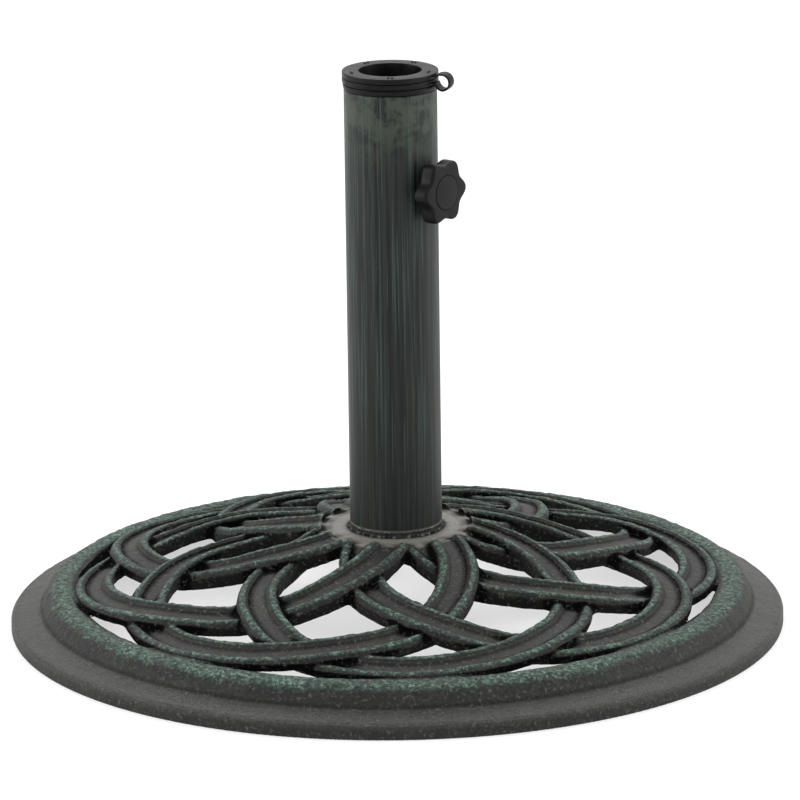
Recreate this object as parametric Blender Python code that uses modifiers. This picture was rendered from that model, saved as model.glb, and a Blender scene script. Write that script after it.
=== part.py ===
"""Cast-iron parasol base: woven casting, upright tube, pole collar, tethered reducer and clamp knob."""

import math

import bmesh
import bpy

# Driving dimensions, in metres.
BASE_R = 0.240
LIP_H = 0.0078
BEAD_R = 0.2077
BEAD_Z = 0.0262
VALLEY_R = 0.222
VALLEY_Z = 0.0127
LEDGE_R = 0.198
LEDGE_TOP_Z = 0.0236
LEDGE_UNDER_Z = 0.0130
RIM_STEPS = 64

RING_COUNT = 8
RING_R = 0.0955
RING_CENTRE_R = 0.093
RIBBON_HALF = 0.0125
HUB_DEPTH = 0.0150
RIM_DEPTH = 0.0085
HUB_THINNING = 0.0040
HUB_THINNING_R = 0.082
CHANNEL_DEPTH = 0.0035
WEAVE_RISE = 0.0022
RING_STEPS = 36
DOME_TOP_Z = 0.0640
DOME_RIM_Z = 0.0280
DOME_INNER_R = 0.047
DOME_OUTER_R = 0.200
DOME_POWER = 0.87
HUB_DIVE = 0.35

HUB_R = 0.047
HUB_TOP_Z = 0.0605
HUB_UNDER_Z = 0.0485
BOSS_R = 0.0285
BOSS_TOP_Z = 0.064
BOLT_HOLE_R = 0.0055
RECESS_R = 0.018
RECESS_TOP_Z = 0.0545

GAP = 0.0003
TUBE_R = 0.0285
TUBE_WALL = 0.0015
TUBE_FOOT_Z = BOSS_TOP_Z + GAP
TUBE_TOP_Z = 0.3379
CLAMP_Z = 0.278
CLAMP_HOLE_R = 0.0045

PLATE_T = 0.005
PLATE_SEAT_R = 0.0105
PLATE_SEAT_DEPTH = 0.0005
NUT_H = 0.0084
NUT_FLATS = 0.016
BOLT_R = 0.005
BOLT_LENGTH = 0.029
BOLT_HEAD_H = 0.0064

FLANGE_R = 0.0295
POLE_48_R = 0.0243
POLE_38_R = 0.01925
SLEEVE_R = TUBE_R - TUBE_WALL - GAP
TOP_Z = 0.349

KNOB_LOBES = 6
KNOB_R = 0.0185
KNOB_LOBE = 0.0019
KNOB_NECK_R = 0.0102
KNOB_NECK_X = 0.0289
KNOB_BACK_X = 0.0325
KNOB_FACE_X = 0.0427
SCREW_R = 0.004
SCREW_TIP_X = 0.015
SCREW_HEAD_X = 0.0360
SCREW_HEAD_R = 0.0070
SCREW_HEAD_H = 0.0050
CAP_R = 0.0106

STRAP_HEADING = 18.0
STRAP_HALF_WIDTH = 0.004
STRAP_T = 0.0013
MARK_CIRCLE_R = 0.0247
MARK_R = 0.0008
MARK_FIRST = 20.4

for old in list(bpy.data.objects):
    bpy.data.objects.remove(old, do_unlink=True)

PARTS = bpy.data.collections.new("parasol_base")
CUTTERS = bpy.data.collections.new("cutters")
bpy.context.scene.collection.children.link(PARTS)
bpy.context.scene.collection.children.link(CUTTERS)
CUTTERS.hide_render = True


def principled(name, colour, metallic, roughness):
    """A material with a Principled surface."""
    made = bpy.data.materials.new(name)
    made.use_nodes = True
    shader = made.node_tree.nodes["Principled BSDF"]
    shader.inputs["Base Color"].default_value = (*colour, 1.0)
    shader.inputs["Metallic"].default_value = metallic
    shader.inputs["Roughness"].default_value = roughness
    made.diffuse_color = (*colour, 1.0)
    return made


def keep(obj, material, angle=35.0):
    """Moves an object among the parts and gives it its material and smooth shading."""
    for held in list(obj.users_collection):
        held.objects.unlink(obj)
    PARTS.objects.link(obj)
    obj.data.materials.clear()
    obj.data.materials.append(material)
    obj.data.shade_smooth()
    obj.data.set_sharp_from_angle(angle=math.radians(angle))
    return obj


def as_cutter(obj):
    """Moves an object among the cutters, drawn as a wire and left out of renders."""
    for held in list(obj.users_collection):
        held.objects.unlink(obj)
    CUTTERS.objects.link(obj)
    obj.display_type = "WIRE"
    obj.hide_render = True
    return obj


def from_mesh(name, mesh):
    obj = bpy.data.objects.new(name, mesh)
    PARTS.objects.link(obj)
    return obj


def baked(obj):
    """A plain mesh object holding the evaluated shape of obj, which is removed."""
    bpy.context.view_layer.update()
    graph = bpy.context.evaluated_depsgraph_get()
    mesh = bpy.data.meshes.new_from_object(obj.evaluated_get(graph))
    mesh.transform(obj.matrix_world)
    name = obj.name
    bpy.data.objects.remove(obj, do_unlink=True)
    soup = bmesh.new()
    soup.from_mesh(mesh)
    bmesh.ops.remove_doubles(soup, verts=soup.verts, dist=0.000005)
    bmesh.ops.recalc_face_normals(soup, faces=soup.faces)
    soup.to_mesh(mesh)
    soup.free()
    return from_mesh(name, mesh)


def turned(name, profile, steps, closed):
    """A profile of (radius, height) points turned about Z. It runs down its outer side, top to bottom."""
    count = len(profile)
    edges = [(i, i + 1) for i in range(count - 1)]
    if closed:
        edges.append((count - 1, 0))
    mesh = bpy.data.meshes.new(name)
    mesh.from_pydata([(r, 0.0, z) for r, z in profile], edges, [])
    obj = from_mesh(name, mesh)
    screw = obj.modifiers.new("turn", "SCREW")
    screw.steps = steps
    screw.render_steps = steps
    screw.use_merge_vertices = True
    screw.merge_threshold = 0.00001
    screw.use_normal_calculate = True
    return obj


def lie_along_x(obj, x, z):
    """Turns an object built along Z so that it runs along +X from (x, 0, z)."""
    obj.rotation_euler = (0.0, math.radians(90.0), 0.0)
    obj.location = (x, 0.0, z)
    return obj


def boolean(obj, other, operation):
    cut = obj.modifiers.new(other.name, "BOOLEAN")
    cut.operation = operation
    cut.solver = "EXACT"
    cut.object = as_cutter(other)
    return obj


def cylinder(name, radius, z_low, z_high, segments):
    mesh = bpy.data.meshes.new(name)
    shape = bmesh.new()
    bmesh.ops.create_cone(
        shape, cap_ends=True, segments=segments, radius1=radius, radius2=radius, depth=z_high - z_low
    )
    bmesh.ops.translate(shape, verts=shape.verts, vec=(0.0, 0.0, (z_low + z_high) / 2))
    shape.to_mesh(mesh)
    shape.free()
    return from_mesh(name, mesh)


def rim():
    """The stepped rim: lip on the floor, sloping brim, valley, rounded bead and inner ledge."""
    profile = [
        (BEAD_R, BEAD_Z),
        (BEAD_R + 0.0050, BEAD_Z - 0.0012),
        (BEAD_R + 0.0090, BEAD_Z - 0.0043),
        (VALLEY_R - 0.0015, VALLEY_Z + 0.0022),
        (VALLEY_R + 0.0010, VALLEY_Z),
        (BASE_R - 0.0055, LIP_H + 0.0022),
        (BASE_R - 0.0018, LIP_H + 0.0012),
        (BASE_R, LIP_H - 0.0012),
        (BASE_R, 0.0),
        (BASE_R - 0.0060, 0.0),
        (BASE_R - 0.0090, VALLEY_Z - 0.0077),
        (VALLEY_R - 0.0040, VALLEY_Z - 0.0047),
        (BEAD_R + 0.0020, LEDGE_UNDER_Z),
        (LEDGE_R + 0.0010, LEDGE_UNDER_Z),
        (LEDGE_R, LEDGE_TOP_Z),
        (LEDGE_R + 0.0030, LEDGE_TOP_Z + 0.0017),
    ]
    return turned("cast_base", profile, RIM_STEPS, True)


def dome_height(radius):
    """Height of the ribbon crests at a radius from the middle of the base. They dive into the hub plate."""
    if radius < DOME_INNER_R:
        return max(DOME_TOP_Z - HUB_DIVE * (DOME_INNER_R - radius), HUB_TOP_Z - 0.0045)
    share = min((radius - DOME_INNER_R) / (DOME_OUTER_R - DOME_INNER_R), 1.05)
    return DOME_TOP_Z + (DOME_RIM_Z - DOME_TOP_Z) * share**DOME_POWER


def weave_height(angle):
    """Rise or dip of a ribbon at an angle round its own ring, 0 being the outermost point."""
    first = math.radians(44.4)
    pitch = math.radians(43.8)
    size = abs(angle)
    side = 1.0 if angle >= 0.0 else -1.0
    if size < first:
        return WEAVE_RISE * side * math.sin(math.pi / 2 * size / first)
    return WEAVE_RISE * side * math.cos(math.pi * (size - first) / pitch)


def ribbon_depth(radius):
    """Thickness of a ribbon at a radius from the middle of the base: thinner at the hub and the rim."""
    share = min(max((radius - DOME_INNER_R) / (DOME_OUTER_R - DOME_INNER_R), 0.0), 1.05)
    near_hub = min(max((HUB_THINNING_R - radius) / (HUB_THINNING_R - DOME_INNER_R), 0.0), 1.0)
    return HUB_DEPTH + (RIM_DEPTH - HUB_DEPTH) * share - HUB_THINNING * near_hub


def ribbon(index):
    """One looped ribbon: a turned ring with two edge beads, bent over the dome and woven."""
    half = RIBBON_HALF
    section = [
        (RING_R + half - 0.0032, 0.0),
        (RING_R + half, -0.0030),
        (RING_R + half - 0.0020, -HUB_DEPTH),
        (RING_R - half + 0.0020, -HUB_DEPTH),
        (RING_R - half, -0.0030),
        (RING_R - half + 0.0032, 0.0),
        (RING_R - half + 0.0080, -CHANNEL_DEPTH),
        (RING_R + half - 0.0080, -CHANNEL_DEPTH),
    ]
    obj = baked(turned("ribbon_%d" % index, section, RING_STEPS, True))
    heading = math.tau * index / RING_COUNT
    for point in obj.data.vertices:
        angle = math.atan2(point.co.y, point.co.x)
        x = point.co.x + RING_CENTRE_R
        y = point.co.y
        if point.co.z < -2 * CHANNEL_DEPTH:
            point.co.z = -ribbon_depth(math.hypot(x, y))
        point.co.z += dome_height(math.hypot(x, y)) + weave_height(angle)
        if math.hypot(x, y) < DOME_INNER_R:
            point.co.z = max(point.co.z, HUB_UNDER_Z + 0.0010 + 0.0001 * index)
        point.co.x = x * math.cos(heading) - y * math.sin(heading)
        point.co.y = x * math.sin(heading) + y * math.cos(heading)
    return obj


def hub():
    """The thick middle of the casting, with the round boss that the tube stands on."""
    profile = [
        (0.0, BOSS_TOP_Z),
        (BOSS_R, BOSS_TOP_Z),
        (BOSS_R, HUB_TOP_Z + 0.0008),
        (BOSS_R + 0.0010, HUB_TOP_Z),
        (HUB_R, HUB_TOP_Z),
        (HUB_R - 0.0020, HUB_UNDER_Z),
        (0.0, HUB_UNDER_Z),
    ]
    return turned("hub", profile, 48, False)


def cast_base():
    obj = baked(rim())
    boolean(obj, baked(hub()), "UNION")
    for index in range(RING_COUNT):
        boolean(obj, ribbon(index), "UNION")
    boolean(obj, cylinder("bolt_hole", BOLT_HOLE_R, 0.030, 0.070, 32), "DIFFERENCE")
    boolean(obj, cylinder("bolt_recess", RECESS_R, 0.030, RECESS_TOP_Z, 48), "DIFFERENCE")
    return baked(obj)


def tube():
    """The upright tube, with the hole the clamp screw passes through."""
    inner = TUBE_R - TUBE_WALL
    profile = [(TUBE_R, TUBE_TOP_Z), (TUBE_R, TUBE_FOOT_Z), (inner, TUBE_FOOT_Z), (inner, TUBE_TOP_Z)]
    obj = baked(turned("tube", profile, 64, True))
    hole = baked(lie_along_x(cylinder("clamp_hole", CLAMP_HOLE_R, 0.0, 0.015, 24), 0.020, CLAMP_Z))
    return baked(boolean(obj, hole, "DIFFERENCE"))


def foot_fixing():
    """End plate, welded nut, bolt and washers that hold the tube to the casting."""
    plate_low = TUBE_FOOT_Z
    plate_high = plate_low + PLATE_T
    seat = plate_high - PLATE_SEAT_DEPTH
    plate_profile = [
        (SLEEVE_R, plate_high),
        (SLEEVE_R, plate_low),
        (BOLT_R + 0.0005, plate_low),
        (BOLT_R + 0.0005, seat),
        (PLATE_SEAT_R, seat),
        (PLATE_SEAT_R + 0.0003, plate_high),
    ]
    plate = baked(turned("foot_plate", plate_profile, 48, True))
    nut_low = seat + GAP
    nut = cylinder("foot_nut", NUT_FLATS / math.sqrt(3.0), nut_low, nut_low + NUT_H, 6)
    boolean(nut, cylinder("foot_nut_hole", BOLT_R + GAP, nut_low - 0.002, nut_low + 0.012, 24), "DIFFERENCE")
    nut = baked(nut)
    washer_high = RECESS_TOP_Z - GAP
    washer_low = washer_high - 0.0025
    washer_profile = [
        (0.0150, washer_high),
        (0.0150, washer_low),
        (0.0055, washer_low),
        (0.0055, washer_high),
    ]
    washer = baked(turned("foot_washer", washer_profile, 32, True))
    lock_high = washer_low - GAP
    lock_low = lock_high - 0.0022
    lock_profile = [
        (0.0090, lock_high),
        (0.0090, lock_low),
        (0.0053, lock_low),
        (0.0053, lock_high),
    ]
    lock = baked(turned("foot_lock_washer", lock_profile, 32, True))
    slit_mesh = bpy.data.meshes.new("slit")
    slit_shape = bmesh.new()
    bmesh.ops.create_cube(slit_shape, size=1.0)
    bmesh.ops.scale(slit_shape, verts=slit_shape.verts, vec=(0.0012, 0.0100, 0.0080))
    bmesh.ops.translate(slit_shape, verts=slit_shape.verts, vec=(0.0, 0.0080, lock_low))
    slit_shape.to_mesh(slit_mesh)
    slit_shape.free()
    slit = from_mesh("slit", slit_mesh)
    lock = baked(boolean(lock, slit, "DIFFERENCE"))
    head_high = lock_low - GAP
    bolt = cylinder("foot_bolt", NUT_FLATS / math.sqrt(3.0), head_high - BOLT_HEAD_H, head_high, 6)
    shank = cylinder("foot_bolt_shank", BOLT_R, head_high - 0.002, head_high + BOLT_LENGTH, 24)
    bolt = baked(boolean(bolt, shank, "UNION"))
    return plate, nut, washer, lock, bolt


def collar_bushing():
    """The plastic liner in the tube's mouth, for the thicker pole, with two edge bands."""
    profile = [
        (FLANGE_R, 0.3453),
        (FLANGE_R, 0.3422),
        (FLANGE_R - 0.0013, 0.3420),
        (FLANGE_R - 0.0013, 0.3416),
        (FLANGE_R - 0.0005, 0.3414),
        (FLANGE_R - 0.0005, 0.3395),
        (FLANGE_R - 0.0009, 0.3382),
        (SLEEVE_R, 0.3382),
        (SLEEVE_R, 0.3030),
        (POLE_48_R, 0.3030),
        (POLE_48_R, 0.3453),
    ]
    return baked(turned("collar_bushing", profile, 48, True))


def pole_reducer():
    """The loose ring that narrows the mouth for the thinner pole, with five pairs of raised dots."""
    profile = [
        (FLANGE_R - 0.0005, TOP_Z),
        (FLANGE_R, TOP_Z - 0.0005),
        (FLANGE_R, 0.3456),
        (POLE_48_R - GAP, 0.3456),
        (POLE_48_R - GAP, 0.3315),
        (POLE_38_R, 0.3315),
        (POLE_38_R, TOP_Z - 0.0005),
        (POLE_38_R + 0.0005, TOP_Z),
    ]
    obj = baked(turned("pole_reducer", profile, 48, True))
    for index in range(10):
        angle = math.radians(MARK_FIRST + 72.0 * (index // 2)) + (index % 2 - 0.5) * 3.0 * MARK_R / MARK_CIRCLE_R
        mark = cylinder("mark_%d" % index, MARK_R, TOP_Z - 0.0010, TOP_Z + 0.0006, 10)
        mark.location = (MARK_CIRCLE_R * math.cos(angle), MARK_CIRCLE_R * math.sin(angle), 0.0)
        boolean(obj, baked(mark), "UNION")
    return baked(obj)


def reducer_strap():
    """The flexible band that loops out from the reducer and back to the bushing."""
    middle = (0.0345, 0.3437)
    bend = 0.0049
    path = [(0.0300, 0.3472), (0.0320, 0.3482)]
    for step in range(13):
        angle = math.radians(90.0 - 15.0 * step)
        path.append((middle[0] + bend * math.cos(angle), middle[1] + bend * math.sin(angle)))
    path.append((0.0320, 0.3399))
    path.append((0.0300, 0.3436))
    points = []
    for x, z in path:
        points.append((x, -STRAP_HALF_WIDTH, z))
        points.append((x, STRAP_HALF_WIDTH, z))
    faces = []
    for i in range(len(path) - 1):
        faces.append((2 * i, 2 * i + 1, 2 * i + 3, 2 * i + 2))
    mesh = bpy.data.meshes.new("reducer_strap")
    mesh.from_pydata(points, [], faces)
    obj = from_mesh("reducer_strap", mesh)
    obj.rotation_euler = (0.0, 0.0, math.radians(STRAP_HEADING))
    shell = obj.modifiers.new("thickness", "SOLIDIFY")
    shell.thickness = STRAP_T
    shell.offset = 0.0
    return baked(obj)


def knob_body():
    """The lobed grip with its neck, hollowed for the screw head and the face cap."""
    outline = bpy.data.curves.new("knob_outline", "CURVE")
    outline.dimensions = "2D"
    outline.fill_mode = "BOTH"
    edge = 0.0016
    outline.extrude = (KNOB_FACE_X - KNOB_BACK_X) / 2 - edge
    outline.bevel_depth = edge
    outline.bevel_resolution = 1
    outline.offset = -edge
    spline = outline.splines.new("POLY")
    count = KNOB_LOBES * 8
    spline.points.add(count - 1)
    for i in range(count):
        angle = math.tau * i / count
        radius = KNOB_R - KNOB_LOBE * math.cos(KNOB_LOBES * angle)
        spline.points[i].co = (radius * math.cos(angle), radius * math.sin(angle), 0.0, 1.0)
    spline.use_cyclic_u = True
    grip = bpy.data.objects.new("knob_body", outline)
    PARTS.objects.link(grip)
    grip.location = (0.0, 0.0, (KNOB_BACK_X + KNOB_FACE_X) / 2)
    grip = baked(grip)
    neck = cylinder("knob_neck", KNOB_NECK_R, KNOB_NECK_X, KNOB_BACK_X + 0.004, 32)
    boolean(grip, neck, "UNION")
    pocket_profile = [
        (0.0, KNOB_FACE_X + 0.005),
        (CAP_R + GAP, KNOB_FACE_X + 0.005),
        (CAP_R + GAP, KNOB_FACE_X - 0.0016),
        (SCREW_HEAD_R + GAP, KNOB_FACE_X - 0.0016),
        (SCREW_HEAD_R + GAP, SCREW_HEAD_X - GAP),
        (SCREW_R + GAP, SCREW_HEAD_X - GAP),
        (SCREW_R + GAP, KNOB_NECK_X - 0.005),
        (0.0, KNOB_NECK_X - 0.005),
    ]
    boolean(grip, baked(turned("knob_pocket", pocket_profile, 32, False)), "DIFFERENCE")
    return baked(lie_along_x(baked(grip), 0.0, CLAMP_Z))


def knob_cap():
    """The round disc pressed into the face of the knob."""
    profile = [
        (0.0, KNOB_FACE_X + 0.0004),
        (CAP_R - 0.0010, KNOB_FACE_X + 0.0004),
        (CAP_R, KNOB_FACE_X - 0.0004),
        (CAP_R, KNOB_FACE_X - 0.0013),
        (0.0, KNOB_FACE_X - 0.0013),
    ]
    return baked(lie_along_x(baked(turned("knob_cap", profile, 40, False)), 0.0, CLAMP_Z))


def clamp_screw():
    """The stud whose round head sits in the knob and whose tip presses on the pole."""
    profile = [
        (0.0, SCREW_HEAD_X + SCREW_HEAD_H),
        (SCREW_HEAD_R, SCREW_HEAD_X + SCREW_HEAD_H),
        (SCREW_HEAD_R, SCREW_HEAD_X),
        (SCREW_R, SCREW_HEAD_X),
        (SCREW_R, SCREW_TIP_X + 0.0010),
        (SCREW_R - 0.0010, SCREW_TIP_X),
        (0.0, SCREW_TIP_X),
    ]
    return baked(lie_along_x(baked(turned("clamp_screw", profile, 24, False)), 0.0, CLAMP_Z))


def clamp_nut():
    """The nut welded inside the tube wall, its outer end curved to the wall."""
    nut = cylinder("clamp_nut", 0.013 / math.sqrt(3.0), 0.0192, 0.0280, 6)
    boolean(nut, cylinder("clamp_nut_hole", SCREW_R + GAP, 0.0180, 0.0300, 24), "DIFFERENCE")
    nut = baked(lie_along_x(baked(nut), 0.0, CLAMP_Z))
    wall = cylinder("tube_inside", SLEEVE_R, CLAMP_Z - 0.020, CLAMP_Z + 0.020, 96)
    return baked(boolean(nut, wall, "INTERSECT"))


def empty_at(name, location):
    marker = bpy.data.objects.new(name, None)
    marker.empty_display_size = 0.01
    marker.location = location
    PARTS.objects.link(marker)
    return marker


def hang_from(parent, obj):
    """Parents obj to an empty and keeps it where it is."""
    bpy.context.view_layer.update()
    obj.parent = parent
    obj.matrix_parent_inverse = parent.matrix_world.inverted()


def main():
    iron = principled("cast_iron_verdigris", (0.075, 0.085, 0.080), 0.35, 0.62)
    painted = principled("tube_paint", (0.090, 0.115, 0.100), 0.25, 0.50)
    plated = principled("zinc_plated_steel", (0.55, 0.55, 0.53), 1.0, 0.38)
    steel = principled("plain_steel", (0.30, 0.30, 0.30), 1.0, 0.45)
    collar = principled("collar_plastic", (0.055, 0.055, 0.055), 0.0, 0.48)
    loose = principled("reducer_plastic", (0.065, 0.065, 0.065), 0.0, 0.45)
    flexible = principled("strap_plastic", (0.050, 0.050, 0.052), 0.0, 0.50)
    grip = principled("knob_plastic", (0.045, 0.045, 0.048), 0.0, 0.46)

    keep(cast_base(), iron)
    keep(tube(), painted)
    plate, nut, washer, lock, bolt = foot_fixing()
    keep(plate, steel)
    keep(nut, steel)
    keep(washer, plated)
    keep(lock, plated)
    keep(bolt, plated)
    keep(collar_bushing(), collar)
    keep(clamp_nut(), steel)
    keep(reducer_strap(), flexible)

    reducer = keep(pole_reducer(), loose)
    hang_from(empty_at("reducer_axis", (0.0, 0.0, 0.3456)), reducer)

    screw_axis = empty_at("screw_axis", (TUBE_R, 0.0, CLAMP_Z))
    knob_axis = empty_at("knob_axis", (KNOB_BACK_X, 0.0, CLAMP_Z))
    hang_from(screw_axis, knob_axis)
    hang_from(screw_axis, keep(clamp_screw(), plated))
    hang_from(knob_axis, keep(knob_body(), grip))
    hang_from(knob_axis, keep(knob_cap(), grip))
    bpy.context.view_layer.update()


main()
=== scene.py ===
"""Looks of the cast-iron parasol base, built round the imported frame."""

import math

import bmesh
import bpy
import numpy as np
from mathutils import Matrix, Vector


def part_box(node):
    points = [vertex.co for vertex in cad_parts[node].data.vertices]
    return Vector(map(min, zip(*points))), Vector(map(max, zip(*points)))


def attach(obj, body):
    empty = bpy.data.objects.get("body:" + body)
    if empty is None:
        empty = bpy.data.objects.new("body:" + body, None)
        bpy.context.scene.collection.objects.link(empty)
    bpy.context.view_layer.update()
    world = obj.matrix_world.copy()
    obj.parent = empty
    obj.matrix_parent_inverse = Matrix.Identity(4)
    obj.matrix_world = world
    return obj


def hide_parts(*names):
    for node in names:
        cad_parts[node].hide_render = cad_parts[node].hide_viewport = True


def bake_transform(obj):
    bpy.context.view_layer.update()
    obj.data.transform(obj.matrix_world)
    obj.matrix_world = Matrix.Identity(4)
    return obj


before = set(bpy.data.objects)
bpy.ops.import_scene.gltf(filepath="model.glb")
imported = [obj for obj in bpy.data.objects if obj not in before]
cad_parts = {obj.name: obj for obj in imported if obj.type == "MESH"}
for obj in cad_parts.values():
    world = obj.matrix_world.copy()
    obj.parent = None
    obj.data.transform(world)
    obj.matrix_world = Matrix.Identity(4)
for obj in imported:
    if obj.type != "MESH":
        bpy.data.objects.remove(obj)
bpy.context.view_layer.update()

# ---------------------------------------------------------------- places and sizes, from the frame

BASE_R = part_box("cast_base")[1].x
BOSS_TOP_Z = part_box("cast_base")[1].z
TUBE_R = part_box("tube")[1].x
TUBE_LOW_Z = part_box("tube")[0].z
TUBE_TOP_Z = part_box("tube")[1].z
COLLAR_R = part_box("collar_bushing")[1].x
COLLAR_LOW_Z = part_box("collar_bushing")[0].z
COLLAR_TOP_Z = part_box("collar_bushing")[1].z
REDUCER_LOW_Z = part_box("pole_reducer")[0].z
MARK_HEIGHT = 0.0006
REDUCER_TOP_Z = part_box("pole_reducer")[1].z - MARK_HEIGHT
SCREW_TIP_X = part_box("clamp_screw")[0].x
SCREW_END_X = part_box("clamp_screw")[1].x
KNOB_NECK_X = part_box("knob_body")[0].x
KNOB_FACE_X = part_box("knob_body")[1].x
CLAMP_Z = (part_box("clamp_screw")[0].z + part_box("clamp_screw")[1].z) / 2

# The woven rosette, as in the CAD source.
RING_COUNT = 8
RING_R = 0.0955
RING_CENTRE_R = 0.093
RIBBON_HALF = 0.0125
HUB_DEPTH = 0.0150
RIM_DEPTH = 0.0085
HUB_THINNING = 0.0040
HUB_THINNING_R = 0.082
CHANNEL_DEPTH = 0.0033
CREST_AT = 0.0086
CREST_ROUND = 0.0039
WEAVE_RISE = 0.0022
DOME_TOP_Z = 0.0640
DOME_RIM_Z = 0.0280
DOME_INNER_R = 0.047
DOME_OUTER_R = 0.200
DOME_POWER = 0.87
HUB_R = 0.047
HUB_TOP_Z = 0.0605
HUB_UNDER_Z = 0.0485
BOLT_HOLE_R = 0.0055
RECESS_R = 0.018
RECESS_TOP_Z = 0.0545
BEAD_R = 0.2085
VALLEY_R = 0.2213
LIP_R = 0.2380

# The smaller pieces.
GAP = 0.0003
TUBE_WALL = 0.0015
CLAMP_HOLE_R = 0.0045
COLLAR_BORE_R = 0.0243
REDUCER_BORE_R = 0.01925
STRAP_HEADING = 18.0
STRAP_T = 0.0013
STRAP_WIDTH = 0.0080
MARK_CIRCLE_R = 0.0247
MARK_R = 0.0008
MARK_FIRST = 20.4
KNOB_BACK_X = 0.0325
SCREW_HEAD_X = 0.0360
SCREW_R = 0.0040
SCREW_HEAD_R = 0.0070
SCREW_PITCH = 0.00125
CAP_R = 0.0106
BOLT_R = 0.0050
BOLT_PITCH = 0.0015
BOLT_HEAD_H = 0.0064
HEX_FLATS = 0.016

# How finely the casting is sampled.
GRID_PITCH = 0.00135

# Light and camera.
WORLD_STRENGTH = 1.0
CAMERA_HEADING = -51.6
CAMERA_DISTANCE = 3.5397
CAMERA_HEIGHT = 1.1105
CAMERA_PITCH = 15.321
CAMERA_ROLL = 0.753
CAMERA_LENS = 267.7
CAMERA_ASIDE = -0.0034


# ---------------------------------------------------------------- the casting as an implicit solid


def smooth_min(a, b, k):
    """The lower of two distances, with a fillet of about k where they meet."""
    h = np.clip(0.5 + 0.5 * (b - a) / k, 0.0, 1.0)
    return b + (a - b) * h - k * h * (1.0 - h)


def smooth_max(a, b, k):
    """The higher of two distances, with a fillet of about k where they meet."""
    return -smooth_min(-a, -b, k)


def polygon_distance(px, pz, outline):
    """Signed distance from points to a closed outline in the radius-height plane, negative inside."""
    best = np.full(px.shape, 1e9)
    inside = np.zeros(px.shape, bool)
    count = len(outline)
    for i in range(count):
        ax, az = outline[i]
        bx, bz = outline[(i + 1) % count]
        ex, ez = bx - ax, bz - az
        wx, wz = px - ax, pz - az
        share = np.clip((wx * ex + wz * ez) / (ex * ex + ez * ez), 0.0, 1.0)
        best = np.minimum(best, (wx - share * ex) ** 2 + (wz - share * ez) ** 2)
        crosses = (az > pz) != (bz > pz)
        with np.errstate(divide="ignore", invalid="ignore"):
            at = ax + (pz - az) * ex / ez
        inside ^= crosses & (px < at)
    return np.where(inside, -1.0, 1.0) * np.sqrt(best)


def rim_outline():
    """Half section of the rim: lip, brim, valley, broad bead and inner ledge."""
    round_off = 0.0010
    lip = BASE_R - round_off
    return [
        (lip, round_off),
        (lip, 0.0064),
        (0.2378, 0.0078),
        (0.2335, 0.0090),
        (0.2275, 0.0105),
        (0.2232, 0.0116),
        (0.2210, 0.0127),
        (0.2196, 0.0150),
        (0.2178, 0.0188),
        (0.2155, 0.0222),
        (0.2120, 0.0245),
        (0.2077, 0.0252),
        (0.2030, 0.0248),
        (0.1998, 0.0237),
        (0.1990, 0.0222),
        (0.1990, 0.0142),
        (0.2090, 0.0135),
        (0.2180, 0.0085),
        (0.2310, 0.0055),
        (0.2345, round_off),
    ], round_off


def hub_outline():
    """The hub plate and its boss as an outline in the radius-height plane."""
    round_off = 0.0008
    boss = TUBE_R - round_off
    return [
        (-0.01, BOSS_TOP_Z - round_off),
        (boss, BOSS_TOP_Z - round_off),
        (boss, HUB_TOP_Z - round_off),
        (HUB_R - round_off, HUB_TOP_Z - round_off),
        (HUB_R - 0.0028, HUB_UNDER_Z + round_off),
        (-0.01, HUB_UNDER_Z + round_off),
    ], round_off


def dome_share(r):
    """How far out between the hub and the rim a point is, 0 to 1."""
    return np.clip((r - DOME_INNER_R) / (DOME_OUTER_R - DOME_INNER_R), 0.0, 1.05)


def dome_height(r):
    """The height of the dome that the ribbons lie on."""
    return DOME_TOP_Z + (DOME_RIM_Z - DOME_TOP_Z) * dome_share(r) ** DOME_POWER


def ribbon_depth(r):
    """Thickness of the ribbons, which get thinner towards the hub and the rim."""
    near_hub = np.clip((HUB_THINNING_R - r) / (HUB_THINNING_R - DOME_INNER_R), 0.0, 1.0)
    return HUB_DEPTH + (RIM_DEPTH - HUB_DEPTH) * dome_share(r) - HUB_THINNING * near_hub


def weave_height(angle):
    """Rise or dip of a ribbon at an angle round its own ring, 0 being the outermost point."""
    first = math.radians(44.4)
    pitch = math.radians(43.8)
    size = np.abs(angle)
    near = np.sin(math.pi / 2 * size / first)
    far = np.cos(math.pi * (size - first) / pitch)
    return WEAVE_RISE * np.where(angle >= 0.0, 1.0, -1.0) * np.where(size < first, near, far)


def ribbon_place(x, y, index):
    """Where points lie on a ribbon: across it, round it, and the height of its crests there."""
    heading = math.tau * index / RING_COUNT
    along = x * math.cos(heading) + y * math.sin(heading) - RING_CENTRE_R
    aside = -x * math.sin(heading) + y * math.cos(heading)
    across = np.hypot(along, aside) - RING_R
    turn = np.arctan2(aside, along)
    return across, turn, dome_height(np.hypot(x, y)) + weave_height(turn)


def ribbon_distance(x, y, z, index, r):
    """Signed distance from points to one ribbon."""
    across, _, crest = ribbon_place(x, y, index)
    side = np.abs(across)
    low = z - crest
    depth = ribbon_depth(r)
    bead = np.hypot(side - CREST_AT, low + CREST_ROUND) - CREST_ROUND
    draft = 0.0016 * np.clip(-low / depth, 0.0, 1.0)
    wall = side - (RIBBON_HALF - draft)
    deck = smooth_max(wall, low + CHANNEL_DEPTH, 0.0008)
    solid = smooth_min(deck, bead, 0.0017)
    return smooth_max(solid, -(low + depth), 0.0020)


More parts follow.
